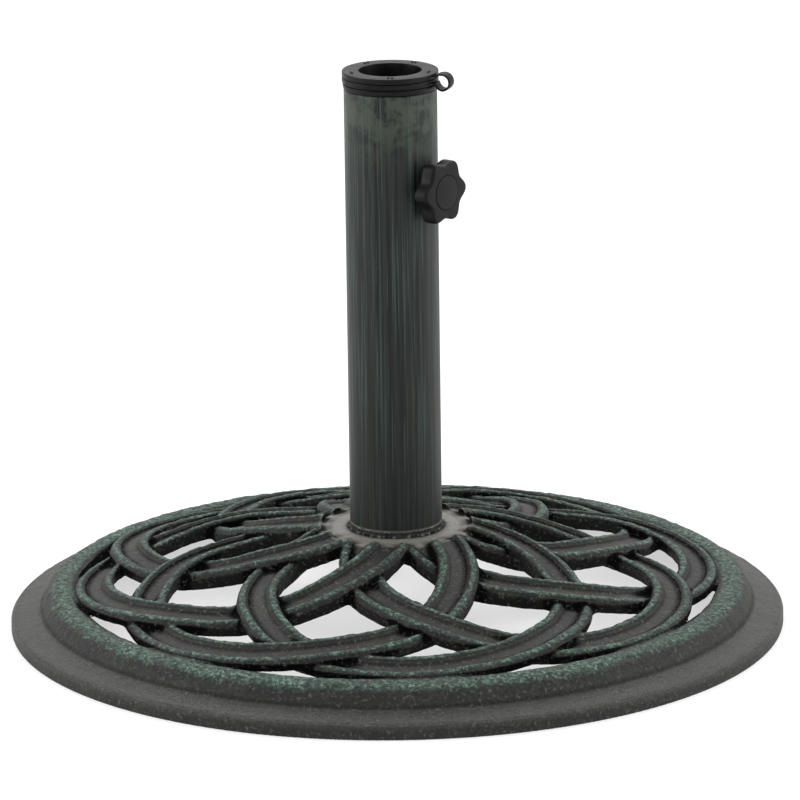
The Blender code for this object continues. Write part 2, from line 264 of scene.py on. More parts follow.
def casting_distance(x, y, z):
    """Signed distance to the whole casting, negative inside, in metres."""
    r = np.hypot(x, y)
    outline, round_off = rim_outline()
    rim = polygon_distance(r, z, outline) - round_off
    fillet = 0.0008 + 0.0034 * np.clip((dome_height(r) - z - 0.0030) / 0.0060, 0.0, 1.0)
    ribbons = ribbon_distance(x, y, z, 0, r)
    for index in range(1, RING_COUNT):
        ribbons = smooth_min(ribbons, ribbon_distance(x, y, z, index, r), fillet)
    under_hub = HUB_UNDER_Z + 0.0010 - z - 10.0 * np.maximum(r - DOME_INNER_R, 0.0)
    over_hub = np.minimum(HUB_R - 0.0006 - r, z - HUB_TOP_Z + 0.0006)
    ribbons = smooth_max(smooth_max(ribbons, under_hub, 0.0010), over_hub, 0.0014)
    outline, round_off = hub_outline()
    hub = polygon_distance(r, z, outline) - round_off
    whole = smooth_min(smooth_min(ribbons, rim, 0.0018), hub, 0.0010)
    recess = np.maximum(r - RECESS_R, z - RECESS_TOP_Z)
    return smooth_max(smooth_max(whole, BOLT_HOLE_R - r, 0.0004), -recess, 0.0006)


def surface_net(distance, low, high, pitch):
    """Vertices and quads of the zero surface of a distance function, on a grid of the given pitch."""
    axes = [np.arange(a, b + pitch, pitch) for a, b in zip(low, high)]
    field = np.empty([len(a) for a in axes], np.float32)
    flat_y, flat_z = np.meshgrid(axes[1], axes[2], indexing="ij")
    for i, x in enumerate(axes[0]):
        field[i] = distance(np.full(flat_y.shape, x), flat_y, flat_z)
    inside = field < 0.0
    corners = [(i, j, k) for i in (0, 1) for j in (0, 1) for k in (0, 1)]
    shape = [n - 1 for n in field.shape]

    def corner(array, c):
        return array[c[0] : c[0] + shape[0], c[1] : c[1] + shape[1], c[2] : c[2] + shape[2]]

    count = sum(corner(inside, c).astype(np.int8) for c in corners)
    cells = np.argwhere((count > 0) & (count < 8))
    number = np.full(shape, -1, np.int32)
    number[tuple(cells.T)] = np.arange(len(cells))
    total = np.zeros((len(cells), 3))
    hits = np.zeros(len(cells))
    for c in corners:
        for axis in range(3):
            if c[axis]:
                continue
            d = list(c)
            d[axis] = 1
            a = field[tuple((cells + c).T)]
            b = field[tuple((cells + d).T)]
            cut = (a < 0) != (b < 0)
            share = np.where(cut, a / np.where(cut, a - b, 1.0), 0.0)
            point = np.array(c, float) + share[:, None] * (np.array(d) - np.array(c))
            total += np.where(cut[:, None], point, 0.0)
            hits += cut
    points = (cells + total / hits[:, None]) * pitch + [a[0] for a in axes]
    quads = []
    for axis in range(3):
        first = np.take(inside, range(field.shape[axis] - 1), axis)
        second = np.take(inside, range(1, field.shape[axis]), axis)
        for leaves in (True, False):
            edges = np.argwhere((first & ~second) if leaves else (~first & second))
            u, v = [(1, 2), (2, 0), (0, 1)][axis]
            ring = []
            for du, dv in ((-1, -1), (0, -1), (0, 0), (-1, 0)):
                at = edges.copy()
                at[:, u] += du
                at[:, v] += dv
                ring.append(number[tuple(at.T)])
            quad = np.stack(ring, 1)
            quads.append(quad if leaves else quad[:, ::-1])
    return points, np.concatenate(quads)


def gradient(distance, points, step=0.00005):
    """The slope of a distance, by differences."""
    slopes = []
    for axis in range(3):
        ahead = points.copy()
        behind = points.copy()
        ahead[:, axis] += step
        behind[:, axis] -= step
        slopes.append((distance(*ahead.T) - distance(*behind.T)) / (2 * step))
    return np.stack(slopes, 1)


def settle(distance, points, pitch):
    """Moves points on to the zero surface, by no more than most of a cell."""
    start = points.copy()
    for _ in range(4):
        slope = gradient(distance, points)
        size = np.maximum((slope**2).sum(1), 0.2)
        points = points - slope * (distance(*points.T) / size)[:, None]
        moved = points - start
        reach = np.linalg.norm(moved, axis=1)
        points = start + moved * np.minimum(1.0, 0.8 * pitch / np.maximum(reach, 1e-9))[:, None]
    return points


def value_noise(points, scale, seed):
    """Smooth noise from -1 to 1 that changes over about `scale` metres."""
    at = points / scale + seed * 17.31
    cell = np.floor(at).astype(np.int64)
    part = at - cell
    part = part * part * (3.0 - 2.0 * part)
    total = np.zeros(len(points))
    for dx in (0, 1):
        for dy in (0, 1):
            for dz in (0, 1):
                key = (cell[:, 0] + dx) * 73856093
                key = key ^ (cell[:, 1] + dy) * 19349663 ^ (cell[:, 2] + dz) * 83492791
                key = (key ^ (key >> 13)) * 1274126177 & 0x7FFFFFFF
                value = (key ^ (key >> 16)) % 65536 / 32767.5 - 1.0
                weight = np.where(dx, part[:, 0], 1 - part[:, 0])
                weight = weight * np.where(dy, part[:, 1], 1 - part[:, 1])
                weight = weight * np.where(dz, part[:, 2], 1 - part[:, 2])
                total += weight * value
    return total


def mesh_piece(name, points, faces, smooth=True):
    """A new object from points and faces."""
    mesh = bpy.data.meshes.new(name)
    mesh.from_pydata([tuple(p) for p in points], [], [tuple(int(i) for i in f) for f in faces])
    mesh.validate()
    mesh.update()
    if smooth:
        mesh.shade_smooth()
    obj = bpy.data.objects.new(name, mesh)
    bpy.context.scene.collection.objects.link(obj)
    return obj


def add_attribute(obj, name, values):
    """Stores one value for each point, for the materials to read."""
    attribute = obj.data.attributes.new(name, "FLOAT", "POINT")
    attribute.data.foreach_set("value", np.asarray(values, np.float32))


def wear_and_shade_masks(points, normal):
    """Masks of 0 to 1 for the crests, edges, brim and hub plate, and a painted-shade mask for creases,
    hollows, the rim valley and walls.
    """
    x, y, z = points.T
    r = np.hypot(x, y)
    crest = np.zeros(len(points))
    over = np.full(len(points), -1e9)
    for index in range(RING_COUNT):
        across, _, top = ribbon_place(x, y, index)
        higher = (np.abs(across) < RIBBON_HALF + 0.0006) & (top > over)
        over = np.where(higher, top, over)
        near_crest = np.exp(-(((np.abs(across) - CREST_AT - 0.0006) / 0.0030) ** 4))
        low_by = np.clip((top - z) / 0.0060, 0.0, 1.0)
        crest = np.where(higher, near_crest * (1.0 - low_by), crest)
    on_rim = np.clip((r - 0.1985) / 0.003, 0.0, 1.0)
    upward = np.clip(normal[:, 2] * 3.0, 0.0, 1.0)
    rim_crest = np.exp(-(((r - BEAD_R) / 0.0095) ** 4)) * upward
    lip_crest = np.exp(-(((r - LIP_R) / 0.0018) ** 2)) * upward
    crest = crest * (1 - on_rim) + on_rim * np.maximum(rim_crest, 0.6 * lip_crest)
    brim = np.clip((r - 0.2195) / 0.002, 0.0, 1.0) * upward
    on_hub = np.clip((HUB_R + 0.002 - r) / 0.002, 0.0, 1.0) * upward

    # Painted shade: darker where the casting closes in round a point, as in creases and hollows.
    near = casting_distance(*(points + normal * 0.0025).T) / 0.0025
    far = casting_distance(*(points + normal * 0.0090).T) / 0.0090
    painted_shade = np.clip(1.0 - (0.45 * near + 0.55 * far), 0.0, 1.0)
    # Painted shade along the valley of the rim.
    valley = np.exp(-(((r - VALLEY_R) / 0.0016) ** 2)) * upward
    painted_shade = np.maximum(painted_shade, 0.22 * valley)
    # Painted shade on walls that slope away from the light, kept off the crests.
    wall = np.clip(1.0 - 2.2 * np.maximum(normal[:, 2], 0.0), 0.0, 1.0) * (1.0 - crest) * (r < 0.232)
    # A faint fixed painted shade round the foot of the tube.
    painted_shade = np.where(r < TUBE_R + 0.0006, 0.12, np.maximum(painted_shade, 0.26 * wall))
    edge = np.clip(1.0 + casting_distance(*(points - normal * 0.0022).T) / 0.0022, 0.0, 1.0)
    return {"crest": crest, "painted_shade": painted_shade, "edge": edge, "brim": brim, "hub": on_hub}


def roughened(points, normal, crest, brim):
    """Sand-cast unevenness, most on the crests and none where the floor or the tube is met."""
    r = np.hypot(points[:, 0], points[:, 1])
    grainy = np.clip(0.30 + 0.70 * crest - 0.25 * brim, 0.0, 1.0)
    bumps = 0.00024 * value_noise(points, 0.012, 1) + 0.00018 * value_noise(points, 0.0055, 2)
    bumps += 0.00042 * grainy * value_noise(points, 0.0029, 3)
    free = np.clip((points[:, 2] - 0.0015) / 0.003, 0.0, 1.0)
    free *= np.clip((BASE_R - 0.0006 - r) / 0.0015, 0.0, 1.0)
    free *= np.where(r < TUBE_R + 0.001, np.clip((BOSS_TOP_Z - points[:, 2]) / 0.003, 0, 1), 1.0)
    points = points + normal * (bumps * free - 0.0002 * free)[:, None]
    points[:, 2] = np.maximum(points[:, 2], 0.0)
    return points


def casting():
    """The whole iron casting as one mesh."""
    low = (-BASE_R - 0.003, -BASE_R - 0.003, -0.0035)
    high = (BASE_R + 0.003, BASE_R + 0.003, BOSS_TOP_Z + 0.0035)
    points, quads = surface_net(casting_distance, low, high, GRID_PITCH)
    points = settle(casting_distance, points, GRID_PITCH)
    slope = gradient(casting_distance, points)
    normal = slope / np.maximum(np.linalg.norm(slope, axis=1), 1e-9)[:, None]
    marks = wear_and_shade_masks(points, normal)
    points = roughened(points, normal, marks["crest"], marks["brim"])
    obj = mesh_piece("base_casting", points, quads)
    for name, values in marks.items():
        add_attribute(obj, name, values)
    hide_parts("cast_base")
    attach(obj, "stand")
    return obj


# ---------------------------------------------------------------- turned, swept and moulded pieces


def rounded(outline, radius, steps=4, closed=True):
    """An outline with its corners cut to arcs of about the given radius."""
    made = []
    count = len(outline)
    for i in range(count):
        here = Vector(outline[i])
        if not closed and i in (0, count - 1):
            made.append(tuple(here))
            continue
        before = Vector(outline[i - 1]) - here
        after = Vector(outline[(i + 1) % count]) - here
        reach = min(radius, 0.45 * before.length, 0.45 * after.length)
        start = here + before.normalized() * reach
        end = here + after.normalized() * reach
        for step in range(steps + 1):
            t = step / steps
            made.append(tuple((1 - t) ** 2 * start + 2 * t * (1 - t) * here + t * t * end))
    return made


def lathe(name, outline, steps, closed=True):
    """Turns an outline of (radius, height) about Z. It runs down its outer side, top to bottom."""
    rows = len(outline)
    points = []
    for step in range(steps):
        turn = math.tau * step / steps
        for r, z in outline:
            points.append((r * math.cos(turn), r * math.sin(turn), z))
    faces = []
    spans = rows if closed else rows - 1
    for step in range(steps):
        after = (step + 1) % steps
        for i in range(spans):
            j = (i + 1) % rows
            faces.append((step * rows + i, step * rows + j, after * rows + j, after * rows + i))
    obj = mesh_piece(name, points, faces)
    cleaned = bmesh.new()
    cleaned.from_mesh(obj.data)
    bmesh.ops.remove_doubles(cleaned, verts=cleaned.verts, dist=0.000002)
    bmesh.ops.recalc_face_normals(cleaned, faces=cleaned.faces)
    cleaned.to_mesh(obj.data)
    cleaned.free()
    return obj


def outward(obj):
    """Turns a closed piece's faces to look outward."""
    cleaned = bmesh.new()
    cleaned.from_mesh(obj.data)
    bmesh.ops.recalc_face_normals(cleaned, faces=cleaned.faces)
    cleaned.to_mesh(obj.data)
    cleaned.free()
    return obj


def tube_faces(rows, steps):
    """Quads between rows of points, each row a closed ring."""
    faces = []
    for row in range(rows - 1):
        for k in range(steps):
            after = (k + 1) % steps
            here, ahead = row * steps, (row + 1) * steps
            faces.append((here + k, here + after, ahead + after, ahead + k))
    return faces


def lay_along_x(obj, z):
    """Turns a piece built along Z so that it runs along +X at a height."""
    obj.data.transform(Matrix.Translation((0.0, 0.0, z)) @ Matrix.Rotation(math.radians(90.0), 4, "Y"))
    return obj


def apply_modifiers(obj):
    """Makes the modifiers part of the mesh."""
    bpy.context.view_layer.update()
    graph = bpy.context.evaluated_depsgraph_get()
    made = bpy.data.meshes.new_from_object(obj.evaluated_get(graph))
    obj.modifiers.clear()
    obj.data = made
    return obj


def cut(obj, tool, operation="DIFFERENCE"):
    """Applies a Boolean and removes the tool."""
    change = obj.modifiers.new("cut", "BOOLEAN")
    change.operation = operation
    change.solver = "EXACT"
    change.object = tool
    apply_modifiers(obj)
    bpy.data.objects.remove(tool, do_unlink=True)
    return obj


def smooth_edges(obj, angle=30.0):
    """Shades smooth, with edges sharper than the angle left sharp."""
    obj.data.shade_smooth()
    obj.data.set_sharp_from_angle(angle=math.radians(angle))
    return obj


def place(obj, body, slot, *nodes):
    """Gives a piece its body and hides the CAD nodes it replaces. The slot argument is not used."""
    if nodes:
        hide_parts(*nodes)
    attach(obj, body)
    return obj


def upright():
    """The tube, with softly broken edges and the hole for the clamp screw."""
    inner = TUBE_R - TUBE_WALL
    levels = 40
    outer = [(TUBE_R, TUBE_TOP_Z - (TUBE_TOP_Z - TUBE_LOW_Z) * i / levels) for i in range(1, levels)]
    outline = [(TUBE_R - 0.0004, TUBE_TOP_Z), (TUBE_R, TUBE_TOP_Z - 0.0004)]
    outline += outer
    outline += [(TUBE_R, TUBE_LOW_Z + 0.0005), (TUBE_R - 0.0005, TUBE_LOW_Z)]
    outline += [(inner + 0.0003, TUBE_LOW_Z), (inner, TUBE_LOW_Z + 0.0003)]
    outline += [(inner, TUBE_TOP_Z - 0.0003), (inner + 0.0003, TUBE_TOP_Z)]
    obj = lathe("upright_tube", outline, 160)
    hole = [(0, 0.04), (CLAMP_HOLE_R, 0.04), (CLAMP_HOLE_R, 0.02), (0, 0.02)]
    cut(obj, lay_along_x(lathe("drill", hole, 48, False), CLAMP_Z))
    smooth_edges(obj, 40.0)
    return place(obj, "stand", "tube_paint", "tube")


def collar():
    """The liner in the tube's mouth: two edge bands with a groove between, and a sleeve."""
    bore = COLLAR_BORE_R
    sleeve = TUBE_R - TUBE_WALL - GAP
    top = COLLAR_TOP_Z
    bands = [
        (COLLAR_R, top),
        (COLLAR_R, top - 0.0031),
        (COLLAR_R - 0.0012, top - 0.0034),
        (COLLAR_R - 0.0012, top - 0.0038),
        (COLLAR_R - 0.0004, top - 0.0040),
        (COLLAR_R - 0.0005, top - 0.0058),
        (COLLAR_R - 0.0009, top - 0.0071),
        (sleeve, top - 0.0071),
    ]
    outline = rounded(bands + [(sleeve, COLLAR_LOW_Z), (bore, COLLAR_LOW_Z), (bore, top)], 0.0005, 3)
    obj = lathe("collar_liner", outline, 128)
    smooth_edges(obj, 40.0)
    return place(obj, "stand", "collar_plastic", "collar_bushing")


def reducer():
    """The loose top ring with its short sleeve and five pairs of raised dots."""
    bore = REDUCER_BORE_R
    sleeve = COLLAR_BORE_R - GAP
    top = REDUCER_TOP_Z
    under = COLLAR_TOP_Z + GAP
    outline = [
        (COLLAR_R, top),
        (COLLAR_R, under),
        (sleeve, under),
        (sleeve, REDUCER_LOW_Z),
        (bore, REDUCER_LOW_Z),
        (bore, top),
    ]
    obj = lathe("reducer_ring", rounded(outline, 0.0006, 4), 128)
    for index in range(10):
        turn = math.radians(MARK_FIRST + 72.0 * (index // 2))
        turn += (index % 2 - 0.5) * 3.0 * MARK_R / MARK_CIRCLE_R
        outline = [(0, MARK_HEIGHT), (MARK_R, MARK_HEIGHT), (MARK_R, -0.001), (0, -0.001)]
        dome = rounded(outline, 0.0004, 3, False)
        dot = lathe("dot", dome, 16, False)
        at = (MARK_CIRCLE_R * math.cos(turn), MARK_CIRCLE_R * math.sin(turn), top)
        dot.data.transform(Matrix.Translation(at))
        cut(obj, dot, "UNION")
    smooth_edges(obj, 40.0)
    return place(obj, "reducer", "reducer_plastic", "pole_reducer")


def strap():
    """The band that loops from the reducer back to the collar."""
    middle = Vector((0.0345, 0.3437))
    bend = 0.0049
    path = [Vector((0.0298, 0.3470)), Vector((0.0310, 0.3478)), Vector((0.0325, 0.3484))]
    for step in range(25):
        turn = math.radians(90.0 - 180.0 * step / 24)
        path.append(middle + bend * Vector((math.cos(turn), math.sin(turn))))
    path += [Vector((0.0328, 0.3394)), Vector((0.0312, 0.3408)), Vector((0.0300, 0.3434))]
    thick, wide = STRAP_T / 2, STRAP_WIDTH / 2
    section = rounded([(-thick, -wide), (thick, -wide), (thick, wide), (-thick, wide)], 0.0005, 3)
    points = []
    for i, here in enumerate(path):
        ahead = path[min(i + 1, len(path) - 1)] - path[max(i - 1, 0)]
        side = Vector((-ahead.y, ahead.x)).normalized()
        for out, y in section:
            points.append((here.x + side.x * out, y, here.y + side.y * out))
    n = len(section)
    faces = [tuple(range(n))[::-1], tuple((len(path) - 1) * n + i for i in range(n))]
    faces += tube_faces(len(path), n)
    obj = smooth_edges(outward(mesh_piece("tether_band", points, faces)), 40.0)
    heading = math.radians(STRAP_HEADING)
    obj.data.transform(Matrix.Rotation(heading, 4, "Z"))
    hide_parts("reducer_strap")
    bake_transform(obj)
    return obj


def lobe_radius(turn, shrink):
    """Outline of the star grip at an angle: six broad lobes with rounded valleys."""
    wave = -math.cos(6 * turn)
    return 0.0184 + 0.0019 * wave + 0.0001 * math.cos(12 * turn) - shrink


def grip():
    """The star grip: lobed body with rounded edges, a neck, and pockets for the stud and the cap."""
    back, face = KNOB_BACK_X, KNOB_FACE_X
    edge = 0.0022
    rows = []
    for step in range(7):
        bend = math.radians(90.0 - 15.0 * step)
        rows.append((face - edge + edge * math.sin(bend), edge * (1 - math.cos(bend))))
    for step in range(7):
        bend = math.radians(15.0 * step)
        rows.append((back + edge - edge * math.sin(bend), edge * (1 - math.cos(bend))))
    steps = 144
    points = []
    for x, shrink in rows:
        for step in range(steps):
            turn = math.tau * step / steps
            r = lobe_radius(turn, shrink)
            points.append((x, r * math.sin(turn), CLAMP_Z + r * math.cos(turn)))
    faces = tube_faces(len(rows), steps)
    points.append((face, 0.0, CLAMP_Z))
    points.append((back, 0.0, CLAMP_Z))
    last = (len(rows) - 1) * steps
    for k in range(steps):
        faces.append((len(points) - 2, (k + 1) % steps, k))
        faces.append((len(points) - 1, last + k, last + (k + 1) % steps))
    obj = outward(mesh_piece("star_grip", points, faces))
    neck = [(0.0, back + 0.003), (0.0102, back + 0.003), (0.0102, KNOB_NECK_X), (0.0, KNOB_NECK_X)]
    cut(obj, lay_along_x(lathe("neck", rounded(neck, 0.0008, 3, False), 72, False), CLAMP_Z), "UNION")
    pocket = [
        (0.0, face + 0.005),
        (CAP_R + GAP, face + 0.005),
        (CAP_R + GAP, face - 0.0016),
        (SCREW_HEAD_R + GAP, face - 0.0016),
        (SCREW_HEAD_R + GAP, SCREW_HEAD_X - GAP),
        (SCREW_R + GAP, SCREW_HEAD_X - GAP),
        (SCREW_R + GAP, KNOB_NECK_X - 0.005),
        (0.0, KNOB_NECK_X - 0.005),
    ]
    cut(obj, lay_along_x(lathe("pocket", pocket, 72, False), CLAMP_Z))
    smooth_edges(obj, 35.0)
    return place(obj, "knob", "knob_plastic", "knob_body")


def grip_cap():
    """The round cap in the face of the knob."""
    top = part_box("knob_cap")[1].x
    under = top - 0.0017
    outline = [(0.0, top), (CAP_R, top - 0.0001), (CAP_R, under), (0.0, under)]
    outline = rounded(outline, 0.0006, 4, False)
    obj = lay_along_x(lathe("grip_cap", outline, 96, False), CLAMP_Z)
    smooth_edges(obj, 40.0)
    return place(obj, "knob", "knob_cap_plastic", "knob_cap")


def threaded(name, radius, pitch, low, high):
    """A threaded rod along Z with a chamfer at each end, closed."""
    steps = 40
    rows = int(round((high - low) / pitch * 8))
    depth = 0.6 * pitch
    points = []
    for row in range(rows + 1):
        z = low + (high - low) * row / rows
        ends = min(z - low, high - z)
        limit = radius - max(0.0, 0.0008 - ends)
        for step in range(steps):
            turn = step / steps
            phase = (z / pitch - turn) % 1.0
            groove = max(0.0, 1.0 - abs(phase - 0.5) / 0.42)
            r = min(radius - depth * groove, limit)
            points.append((r * math.cos(math.tau * turn), r * math.sin(math.tau * turn), z))
    faces = [tuple(range(steps))[::-1], tuple(rows * steps + k for k in range(steps))]
    return mesh_piece(name, points, faces + tube_faces(rows + 1, steps))


def hexagon(name, flats, low, high):
    """A hexagonal prism along Z with its corners chamfered at both ends."""
    corner = flats / math.sqrt(3.0)
    points = []
    for z in (low, high):
        for k in range(6):
            points.append((corner * math.cos(math.tau * k / 6), corner * math.sin(math.tau * k / 6), z))
    faces = [(5, 4, 3, 2, 1, 0), (6, 7, 8, 9, 10, 11)]
    faces += [(k, (k + 1) % 6, 6 + (k + 1) % 6, 6 + k) for k in range(6)]
    prism = mesh_piece(name, points, faces, False)
    slope = 0.0012
    cone = [(0.0, high), (flats * 0.48, high), (corner + 0.0004, high - slope)]
    cone += [(corner + 0.0004, low + slope), (flats * 0.48, low), (0.0, low)]
    return cut(prism, lathe("chamfer", cone, 64, False), "INTERSECT")


def clamp_stud():
    """The M8 stud, with the round head that sits in the grip."""
    obj = threaded("clamp_stud", SCREW_R, SCREW_PITCH, SCREW_TIP_X, SCREW_HEAD_X + 0.0010)
    low, high = SCREW_END_X, SCREW_HEAD_X
    head = [(0.0, low), (SCREW_HEAD_R, low), (SCREW_HEAD_R, high), (0.0, high)]
    cut(obj, lathe("head", rounded(head, 0.0004, 3, False), 48, False), "UNION")
    smooth_edges(lay_along_x(obj, CLAMP_Z), 40.0)
    return place(obj, "screw", "screw_zinc", "clamp_screw")


def foot_bolt():
    """The bolt that holds the tube down, with a chamfered head and its thread."""
    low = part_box("foot_bolt")[0].z
    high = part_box("foot_bolt")[1].z
    obj = hexagon("hex_bolt", HEX_FLATS, low, low + BOLT_HEAD_H)
    cut(obj, threaded("shank", BOLT_R, BOLT_PITCH, low + BOLT_HEAD_H - 0.0010, high), "UNION")
    smooth_edges(obj, 30.0)
    return place(obj, "stand", "bolt_zinc", "foot_bolt")


def foot_nut():
    """The hexagonal nut at the foot of the tube."""
    low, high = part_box("foot_nut")
    obj = hexagon("hex_nut", HEX_FLATS, low.z, high.z)
    bore = BOLT_R + GAP
    drill = [(0.0, high.z + 0.001), (bore, high.z + 0.001), (bore, low.z - 0.001), (0.0, low.z - 0.001)]
    cut(obj, lathe("drill", drill, 48, False))
    smooth_edges(obj, 30.0)
    return place(obj, "stand", "nut_steel", "foot_nut")


# ---------------------------------------------------------------- materials


class Finish:
    """One procedural material, built from a few kinds of node."""

    def __init__(self, name):
        self.made = bpy.data.materials.new(name)
        self.made.use_nodes = True
        self.tree = self.made.node_tree
        self.shader = self.tree.nodes["Principled BSDF"]
        self.place = self.add("ShaderNodeTexCoord", {}).outputs["Object"]

    def add(self, kind, inputs, **settings):
        node = self.tree.nodes.new(kind)
        for key, value in settings.items():
            setattr(node, key, value)
        for key, value in inputs.items():
            self.feed(node.inputs[key], value)
        return node

    def feed(self, socket, value):
        if isinstance(value, bpy.types.NodeSocket):
            self.tree.links.new(value, socket)
        else:
            socket.default_value = value

    def sense(self, name):
        return self.add("ShaderNodeAttribute", {}, attribute_name=name).outputs["Fac"]

    def noise(self, scale, detail=2.0, roughness=0.5, stretch=None, distortion=0.0):
        """Noise of features about 1 / scale metres wide, drawn out along axes given small stretches."""
        at = self.place
        if stretch:
            at = self.add("ShaderNodeVectorMath", {0: at, 1: stretch}, operation="MULTIPLY").outputs[0]
        inputs = {"Vector": at, "Scale": scale, "Detail": detail}
        inputs.update({"Roughness": roughness, "Distortion": distortion})
        return self.add("ShaderNodeTexNoise", inputs).outputs["Fac"]

    def span(self, value, low, high, out_low=0.0, out_high=1.0):
        """A smooth step of a value from one range to another."""
        inputs = {"Value": value, "From Min": low, "From Max": high}
        inputs.update({"To Min": out_low, "To Max": out_high})
        return self.add("ShaderNodeMapRange", inputs, interpolation_type="SMOOTHSTEP").outputs["Result"]

    def calc(self, operation, a, b):
        return self.add("ShaderNodeMath", {0: a, 1: b}, operation=operation).outputs[0]

    def times(self, a, b):
        return self.calc("MULTIPLY", a, b)

    def plus(self, a, b):
        return self.calc("ADD", a, b)

    def blend(self, share, a, b):
        """Colour a where share is 0, colour b where it is 1."""
        node = self.add("ShaderNodeMix", {}, data_type="RGBA")
        self.feed(node.inputs[0], share)
        self.feed(node.inputs[6], (*a, 1.0) if isinstance(a, tuple) else a)
        self.feed(node.inputs[7], (*b, 1.0) if isinstance(b, tuple) else b)
        return node.outputs[2]

    def height(self):
        return self.add("ShaderNodeSeparateXYZ", {"Vector": self.place}).outputs["Z"]

    def finish(self, colour, roughness, relief, depth, **fixed):
        """Joins the colour, roughness and relief to the shader; relief of 1 stands depth metres high."""
        self.feed(self.shader.inputs["Base Color"], colour)
        self.feed(self.shader.inputs["Roughness"], roughness)
        bump = self.add("ShaderNodeBump", {"Height": relief, "Distance": depth, "Strength": 1.0})
        self.feed(self.shader.inputs["Normal"], bump.outputs["Normal"])
        for key, value in fixed.items():
            self.shader.inputs[key.replace("_", " ")].default_value = value
        return self.made


def cast_iron():
    """Sand-cast iron under dark paint: leathery grain on the beads and rubbed verdigris, with painted
    shade in creases and on walls, painted highlights on the grain and a painted sheen on the hub plate.
    """
    look = Finish("cast_iron_verdigris")
    crest, painted_shade, edge = look.sense("crest"), look.sense("painted_shade"), look.sense("edge")
    brim, hub = look.sense("brim"), look.sense("hub")
    grain = look.noise(430.0, 3.0, 0.66)
    coarse = look.noise(260.0, 2.0, 0.55)
    patches = look.noise(26.0, 3.0, 0.6)
    blotches = look.noise(70.0, 3.0, 0.6)
    pits = look.span(look.noise(950.0, 1.0, 0.5), 0.30, 0.42)

    dark, rusty = (0.0050, 0.0053, 0.0048), (0.0140, 0.0132, 0.0110)
    ground = look.blend(look.span(blotches, 0.35, 0.68), dark, rusty)
    ground = look.blend(look.times(look.span(grain, 0.48, 0.72), 0.55), ground, (0.052, 0.051, 0.046))
    raised = look.plus(look.times(crest, 0.85), look.times(edge, 0.55))
    worn = look.span(look.plus(look.times(raised, 0.62), look.times(patches, 0.55)), 0.50, 0.92)
    green = look.blend(look.span(coarse, 0.38, 0.66), (0.0100, 0.0240, 0.0180), (0.050, 0.112, 0.084))
    # Verdigris with painted highlights: its high grain spots made lighter.
    green = look.blend(look.span(grain, 0.50, 0.66), green, (0.165, 0.270, 0.220))
    colour = look.blend(worn, ground, green)
    colour = look.blend(look.times(brim, 0.60), colour, (0.026, 0.025, 0.021))
    # Painted sheen: the top of the hub plate lightened as if it reflected the bright sky.
    colour = look.blend(look.times(hub, 0.90), colour, (0.190, 0.186, 0.165))
    # Painted shade: creases, hollows, the rim valley and walls darkened towards black.
    shade = look.span(painted_shade, 0.03, 0.40)
    colour = look.blend(look.times(shade, 0.92), colour, (0.0025, 0.0026, 0.0025))
    smooth = look.plus(look.times(brim, 0.20), look.times(hub, 0.85))
    # Painted shade in the low spots of the grain, kept off the smooth brim and hub.
    grain_hollow_shade = look.times(look.span(grain, 0.36, 0.50, 1.0, 0.0), look.calc("SUBTRACT", 1.0, smooth))
    colour = look.blend(look.times(grain_hollow_shade, 0.80), colour, (0.0028, 0.0030, 0.0028))
    # Painted highlight on the high spots of the grain, kept off the smooth brim and hub.
    grain_highlight = look.times(look.span(grain, 0.58, 0.68), look.calc("SUBTRACT", 1.0, smooth))
    colour = look.blend(look.times(grain_highlight, 0.38), colour, (0.120, 0.155, 0.135))

    roughness = look.span(grain, 0.2, 0.8, 0.50, 0.74)
    roughness = look.plus(roughness, look.times(shade, 0.15))
    roughness = look.plus(roughness, look.times(look.plus(brim, hub), -0.14))
    strength = look.span(look.plus(crest, look.times(shade, 0.6)), 0.0, 1.0, 0.28, 1.0)
    relief = look.plus(look.times(grain, 0.62), look.times(coarse, 0.55))
    relief = look.plus(look.times(relief, strength), look.times(pits, 0.10))
    look.feed(look.shader.inputs["Specular IOR Level"], look.span(shade, 0.0, 1.0, 0.36, 0.02))
    return look.finish(colour, roughness, relief, 0.0030)


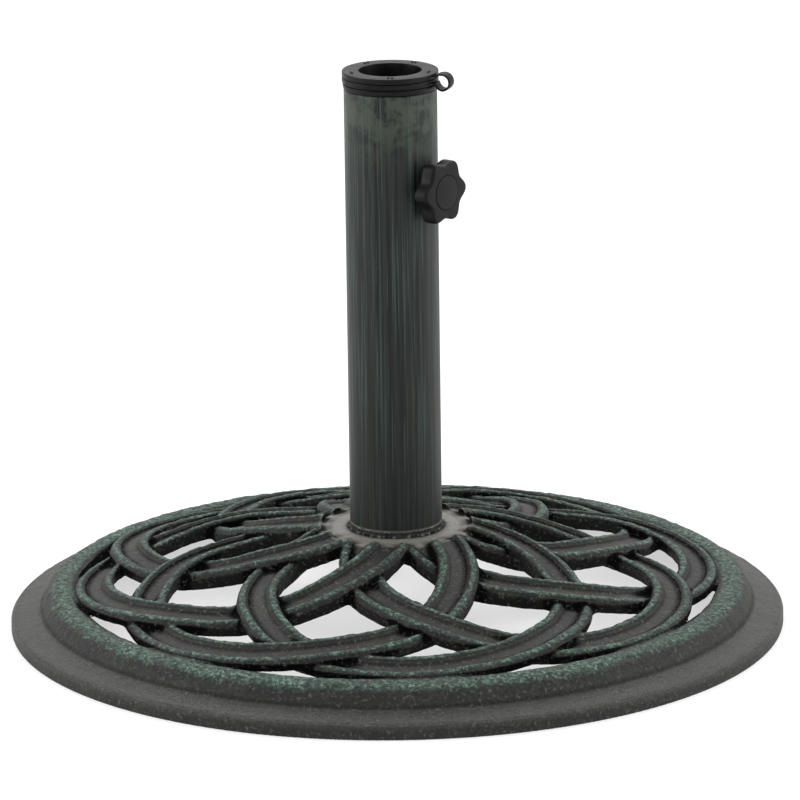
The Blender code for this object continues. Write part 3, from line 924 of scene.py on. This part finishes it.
def tube_paint():
    """Dark green-black paint brushed along the tube, mottled under the collar, with a few scratches."""
    look = Finish("tube_paint_streaked")
    fine = look.noise(900.0, 2.0, 0.6, (1.0, 1.0, 0.012))
    streaks = look.noise(420.0, 3.0, 0.6, (1.0, 1.0, 0.010))
    broad = look.noise(120.0, 2.0, 0.5, (1.0, 1.0, 0.05))
    mottle = look.noise(95.0, 3.0, 0.6)
    speck = look.noise(1400.0, 2.0, 0.6)
    z = look.height()
    dark, light = (0.0030, 0.0042, 0.0038), (0.0150, 0.0200, 0.0172)
    colour = look.blend(look.span(streaks, 0.36, 0.64), dark, light)
    colour = look.blend(look.times(look.span(fine, 0.52, 0.64), 0.70), colour, (0.040, 0.062, 0.054))
    colour = look.blend(look.times(look.span(broad, 0.52, 0.70), 0.45), colour, (0.022, 0.021, 0.016))
    top = look.span(z, TUBE_TOP_Z - 0.050, TUBE_TOP_Z - 0.012)
    olive = look.times(top, look.span(mottle, 0.38, 0.60))
    colour = look.blend(look.times(olive, 0.75), colour, (0.050, 0.064, 0.047))
    low = look.span(z, TUBE_LOW_Z + 0.002, TUBE_LOW_Z + 0.110, 0.45, 0.0)
    colour = look.blend(low, colour, (0.010, 0.011, 0.010))
    curl = look.noise(46.0, 1.0, 0.4, (1.0, 1.0, 0.55), 1.6)
    line = look.calc("ABSOLUTE", look.calc("SUBTRACT", curl, 0.5), 0.0)
    scratch = look.span(line, 0.0006, 0.0022, 1.0, 0.0)
    scratch = look.times(scratch, look.span(look.noise(21.0), 0.50, 0.62))
    colour = look.blend(look.times(scratch, 0.16), colour, (0.10, 0.11, 0.10))
    hem = look.span(z, TUBE_LOW_Z + 0.0004, TUBE_LOW_Z + 0.0011, 0.7, 0.0)
    colour = look.blend(hem, colour, (0.10, 0.10, 0.09))
    roughness = look.plus(look.span(streaks, 0.3, 0.7, 0.36, 0.52), look.times(speck, 0.06))
    relief = look.plus(look.times(streaks, 0.6), look.times(speck, 0.12))
    relief = look.plus(look.times(fine, 0.55), relief)
    return look.finish(colour, roughness, relief, 0.00030, Specular_IOR_Level=0.26)


def plastic(name, dark, light, roughness):
    """Moulded black plastic: a faint stipple, scuffs and dust that settles unevenly."""
    look = Finish(name)
    stipple = look.noise(1900.0, 2.0, 0.6)
    cloud = look.noise(120.0, 3.0, 0.6)
    scuff = look.span(look.noise(420.0, 3.0, 0.7, (1.0, 0.25, 1.0)), 0.58, 0.78)
    colour = look.blend(look.span(cloud, 0.35, 0.70), dark, light)
    colour = look.blend(look.times(scuff, 0.25), colour, (0.030, 0.030, 0.029))
    rough = look.span(cloud, 0.3, 0.7, roughness - 0.05, roughness + 0.06)
    rough = look.plus(rough, look.times(scuff, 0.10))
    relief = look.plus(stipple, look.times(cloud, 1.4))
    return look.finish(colour, rough, relief, 0.00006, Specular_IOR_Level=0.15)


def bright_metal(name, dark, light, roughness):
    """Plated or bare steel: rolled grain, water marks and a little rust-brown in places."""
    look = Finish(name)
    brushed = look.noise(2200.0, 2.0, 0.6, (1.0, 0.12, 1.0))
    cloud = look.noise(160.0, 3.0, 0.6)
    stain = look.span(look.noise(240.0, 4.0, 0.7), 0.56, 0.74)
    colour = look.blend(look.span(cloud, 0.35, 0.70), dark, light)
    colour = look.blend(look.times(stain, 0.45), colour, (0.20, 0.14, 0.09))
    rough = look.span(cloud, 0.3, 0.7, roughness - 0.07, roughness + 0.08)
    rough = look.plus(rough, look.times(stain, 0.22))
    relief = look.plus(look.times(brushed, 0.8), look.times(cloud, 0.6))
    return look.finish(colour, rough, relief, 0.00005, Metallic=1.0)


def set_material(obj, made):
    """Gives a piece one material in place of any it has."""
    obj.data.materials.clear()
    obj.data.materials.append(made)


# ---------------------------------------------------------------- studio


def studio():
    """The pale floor and the even light from all round."""
    mesh = bpy.data.meshes.new("floor")
    half = 9.0
    corners = [(-half, -half, 0), (half, -half, 0), (half, half, 0), (-half, half, 0)]
    mesh.from_pydata(corners, [], [(0, 1, 2, 3)])
    floor = bpy.data.objects.new("floor", mesh)
    bpy.context.scene.collection.objects.link(floor)
    white = bpy.data.materials.new("floor_white")
    white.use_nodes = True
    shader = white.node_tree.nodes["Principled BSDF"]
    shader.inputs["Base Color"].default_value = (0.40, 0.40, 0.40, 1.0)
    shader.inputs["Emission Color"].default_value = (1.0, 1.0, 1.0, 1.0)
    shader.inputs["Emission Strength"].default_value = 0.58
    shader.inputs["Roughness"].default_value = 0.9
    shader.inputs["Specular IOR Level"].default_value = 0.0
    set_material(floor, white)
    world = bpy.data.worlds.new("studio")
    world.use_nodes = True
    world.node_tree.nodes["Background"].inputs["Color"].default_value = (1, 1, 1, 1)
    world.node_tree.nodes["Background"].inputs["Strength"].default_value = WORLD_STRENGTH
    bpy.context.scene.world = world
    bpy.context.scene.view_settings.view_transform = "Standard"


def soft_light(name, heading, height, distance, size, power):
    """A large area light that faces the object, at a heading in degrees from the camera's own."""
    turn = math.radians(CAMERA_HEADING + heading)
    data = bpy.data.lights.new(name, "AREA")
    data.shape = "RECTANGLE"
    data.size, data.size_y = size
    data.energy = power
    obj = bpy.data.objects.new(name, data)
    obj.location = (distance * math.cos(turn), distance * math.sin(turn), height)
    aim = Vector((0, 0, 0.12)) - obj.location
    obj.rotation_euler = aim.to_track_quat("-Z", "Y").to_euler()
    bpy.context.scene.collection.objects.link(obj)


def camera():
    """The camera, placed as in the photograph."""
    data = bpy.data.cameras.new("camera")
    data.lens = CAMERA_LENS
    data.sensor_width = 36.0
    data.clip_end = 50.0
    obj = bpy.data.objects.new("camera", data)
    bpy.context.scene.collection.objects.link(obj)
    turn = math.radians(CAMERA_HEADING)
    forward = Vector((-math.cos(turn), -math.sin(turn), 0.0))
    right = Vector((forward.y, -forward.x, 0.0))
    obj.location = -forward * CAMERA_DISTANCE + Vector((0, 0, CAMERA_HEIGHT)) - right * CAMERA_ASIDE
    heading = math.atan2(forward.y, forward.x) - math.pi / 2
    look = Matrix.Rotation(heading, 4, "Z") @ Matrix.Rotation(math.radians(90 - CAMERA_PITCH), 4, "X")
    look = look @ Matrix.Rotation(math.radians(-CAMERA_ROLL), 4, "Z")
    obj.rotation_euler = look.to_euler()
    bpy.context.scene.camera = obj


camera()
studio()
soft_light("overhead_back", 180.0, 2.0, 1.4, (2.6, 1.4), 30.0)
soft_light("left_side", -85.0, 1.1, 2.2, (1.0, 1.8), 22.0)
soft_light("right_side", 85.0, 1.1, 2.2, (1.0, 1.8), 22.0)

set_material(casting(), cast_iron())
set_material(upright(), tube_paint())
PLASTICS = [
    (collar(), "collar_plastic_black", (0.0025, 0.0025, 0.0025), (0.0050, 0.0050, 0.0047), 0.42),
    (reducer(), "reducer_plastic_black", (0.0030, 0.0030, 0.0030), (0.0060, 0.0060, 0.0056), 0.40),
    (strap(), "strap_plastic_black", (0.0024, 0.0024, 0.0026), (0.0048, 0.0048, 0.0048), 0.46),
    (grip(), "grip_plastic_black", (0.0022, 0.0022, 0.0024), (0.0045, 0.0045, 0.0045), 0.44),
    (grip_cap(), "cap_plastic_black", (0.0026, 0.0026, 0.0028), (0.0050, 0.0050, 0.0050), 0.40),
]
for piece, name, dark, light, roughness in PLASTICS:
    set_material(piece, plastic(name, dark, light, roughness))

ZINC = bright_metal("zinc_plate", (0.42, 0.42, 0.40), (0.58, 0.58, 0.56), 0.38)
BARE = bright_metal("bare_steel", (0.22, 0.21, 0.20), (0.34, 0.33, 0.32), 0.46)
set_material(clamp_stud(), ZINC)
set_material(foot_bolt(), ZINC)
set_material(foot_nut(), BARE)
for node in ("foot_lock_washer", "foot_washer"):
    set_material(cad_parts[node], ZINC)
for node in ("foot_plate", "clamp_nut"):
    set_material(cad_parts[node], BARE)
